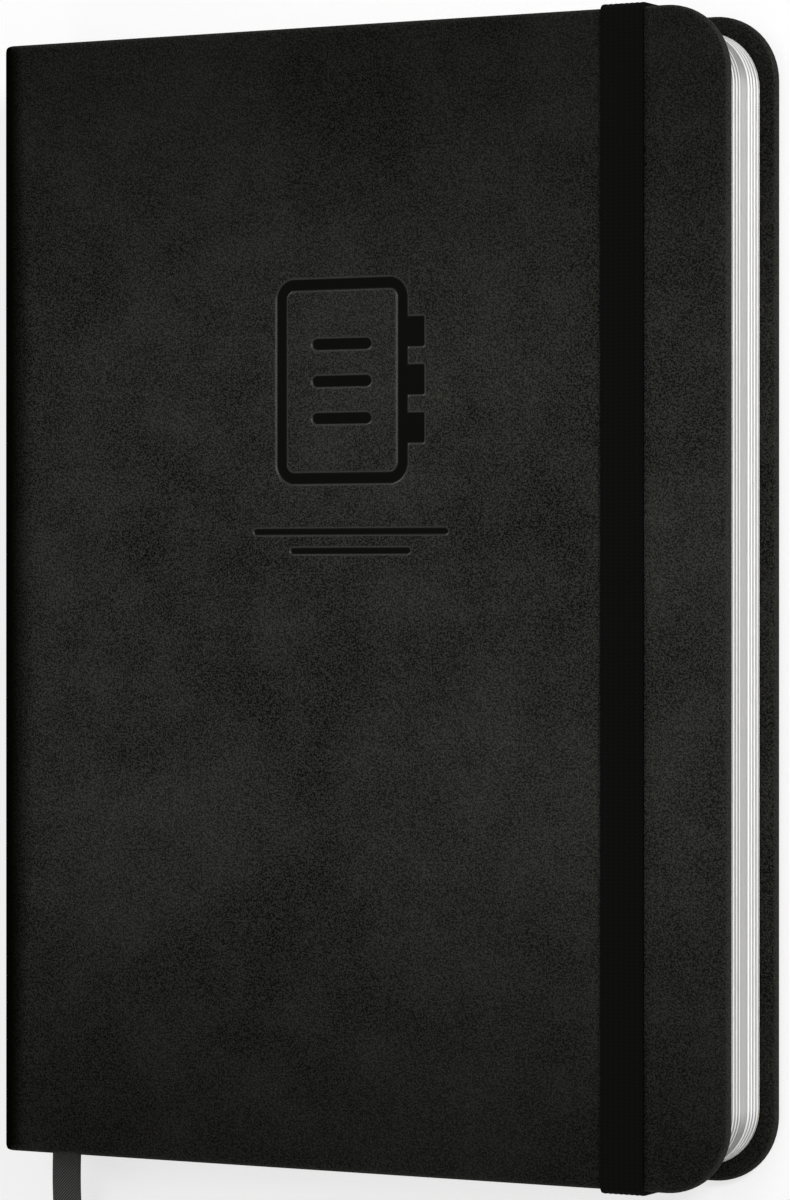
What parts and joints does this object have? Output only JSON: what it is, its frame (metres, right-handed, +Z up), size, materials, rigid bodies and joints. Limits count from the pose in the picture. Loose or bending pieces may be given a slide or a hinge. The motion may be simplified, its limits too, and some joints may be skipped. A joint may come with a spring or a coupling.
{
  "type": "address book",
  "caption": "Black hardcover address book with round corners, sewn leaves, an elastic closing band, a ribbon marker and a hinged case that opens flat.",
  "frame": {"origin": "on the table, under the middle of the closed covers", "axes": "+Z up from the back cover to the front cover, +Y towards the head, +X towards the fore-edge"},
  "size_m": [0.156, 0.2558, 0.024],
  "materials": {
    "leatherette": "soft matt polyurethane with a fine grain",
    "greyboard": "raw board",
    "endpaper": "smooth matt",
    "page_paper": "smooth matt",
    "sewing_thread": "cotton",
    "mull": "open weave",
    "elastic": "ribbed matt",
    "ribbon": "satin"
  },
  "bodies": {
    "back_cover": {"back_board": "greyboard", "back_cover_skin": "leatherette", "back_joint": "leatherette", "back_pastedown": "endpaper", "back_flyleaf": "endpaper", "section_1": "page_paper", "thread_1": "sewing_thread", "mull_1": "mull", "band_head_tail": "elastic", "band_tail_tail": "elastic"},
    "spine": {"spine_board": "greyboard", "spine_skin": "leatherette", "front_joint": "leatherette"},
    "front_cover": {"front_board": "greyboard", "front_cover_skin": "leatherette", "front_pastedown": "endpaper", "front_flyleaf": "endpaper", "section_8": "page_paper", "thread_8": "sewing_thread", "mull_8": "mull"},
    "band": {"band_strand": "elastic", "band_head_leg": "elastic", "band_tail_leg": "elastic"},
    "leaves_2": {"section_2": "page_paper", "thread_2": "sewing_thread", "mull_2": "mull"},
    "leaves_3": {"section_3": "page_paper", "thread_3": "sewing_thread", "mull_3": "mull"},
    "leaves_4": {"section_4": "page_paper", "thread_4": "sewing_thread", "mull_4": "mull", "ribbon": "ribbon", "ribbon_tail": "ribbon"},
    "leaves_5": {"section_5": "page_paper", "thread_5": "sewing_thread", "mull_5": "mull"},
    "leaves_6": {"section_6": "page_paper", "thread_6": "sewing_thread", "mull_6": "mull"},
    "leaves_7": {"section_7": "page_paper", "thread_7": "sewing_thread", "mull_7": "mull"}
  },
  "joints": [
    {"name": "cover_opening", "type": "hinge", "parent": "spine", "child": "front_cover", "pos_m": [-0.07731, 0, 0.02251], "axis": [0, -1, 0], "range_deg": [0, 90], "deforming": ["front_joint"]},
    {"name": "spine_swing", "type": "hinge", "parent": "back_cover", "child": "spine", "pos_m": [-0.07731, 0, 0.00069], "axis": [0, -1, 0], "range_deg": [0, 90], "deforming": ["back_joint"]},
    {"name": "leaves_2_slide", "type": "slide", "parent": "back_cover", "child": "leaves_2", "axis": [-1, 0, 0], "range_m": [0, 0.0047]},
    {"name": "leaves_3_slide", "type": "slide", "parent": "back_cover", "child": "leaves_3", "axis": [-1, 0, 0], "range_m": [0, 0.0094]},
    {"name": "leaves_4_slide", "type": "slide", "parent": "back_cover", "child": "leaves_4", "axis": [-1, 0, 0], "range_m": [0, 0.0141]},
    {"name": "leaves_7_slide", "type": "slide", "parent": "front_cover", "child": "leaves_7", "axis": [-1, 0, 0], "range_m": [0, 0.0047]},
    {"name": "leaves_6_slide", "type": "slide", "parent": "front_cover", "child": "leaves_6", "axis": [-1, 0, 0], "range_m": [0, 0.0094]},
    {"name": "leaves_5_slide", "type": "slide", "parent": "front_cover", "child": "leaves_5", "axis": [-1, 0, 0], "range_m": [0, 0.0141]},
    {"name": "band_drop", "type": "slide", "parent": "back_cover", "child": "band", "axis": [0, 0, -1], "range_m": [0, 0.0115], "deforming": ["band_head_leg", "band_tail_leg"]}
  ],
  "couplings": [
    {"joint": "spine_swing", "follows": "cover_opening", "ratio": 1},
    {"joint": "leaves_2_slide", "follows": "cover_opening", "m_per_rad": 0.0029921},
    {"joint": "leaves_3_slide", "follows": "cover_opening", "m_per_rad": 0.0059842},
    {"joint": "leaves_4_slide", "follows": "cover_opening", "m_per_rad": 0.0089763},
    {"joint": "leaves_7_slide", "follows": "cover_opening", "m_per_rad": 0.0029921},
    {"joint": "leaves_6_slide", "follows": "cover_opening", "m_per_rad": 0.0059842},
    {"joint": "leaves_5_slide", "follows": "cover_opening", "m_per_rad": 0.0089763},
    {"joint": "band_drop", "follows": "cover_opening", "m_per_rad": 0.0073211}
  ]
}
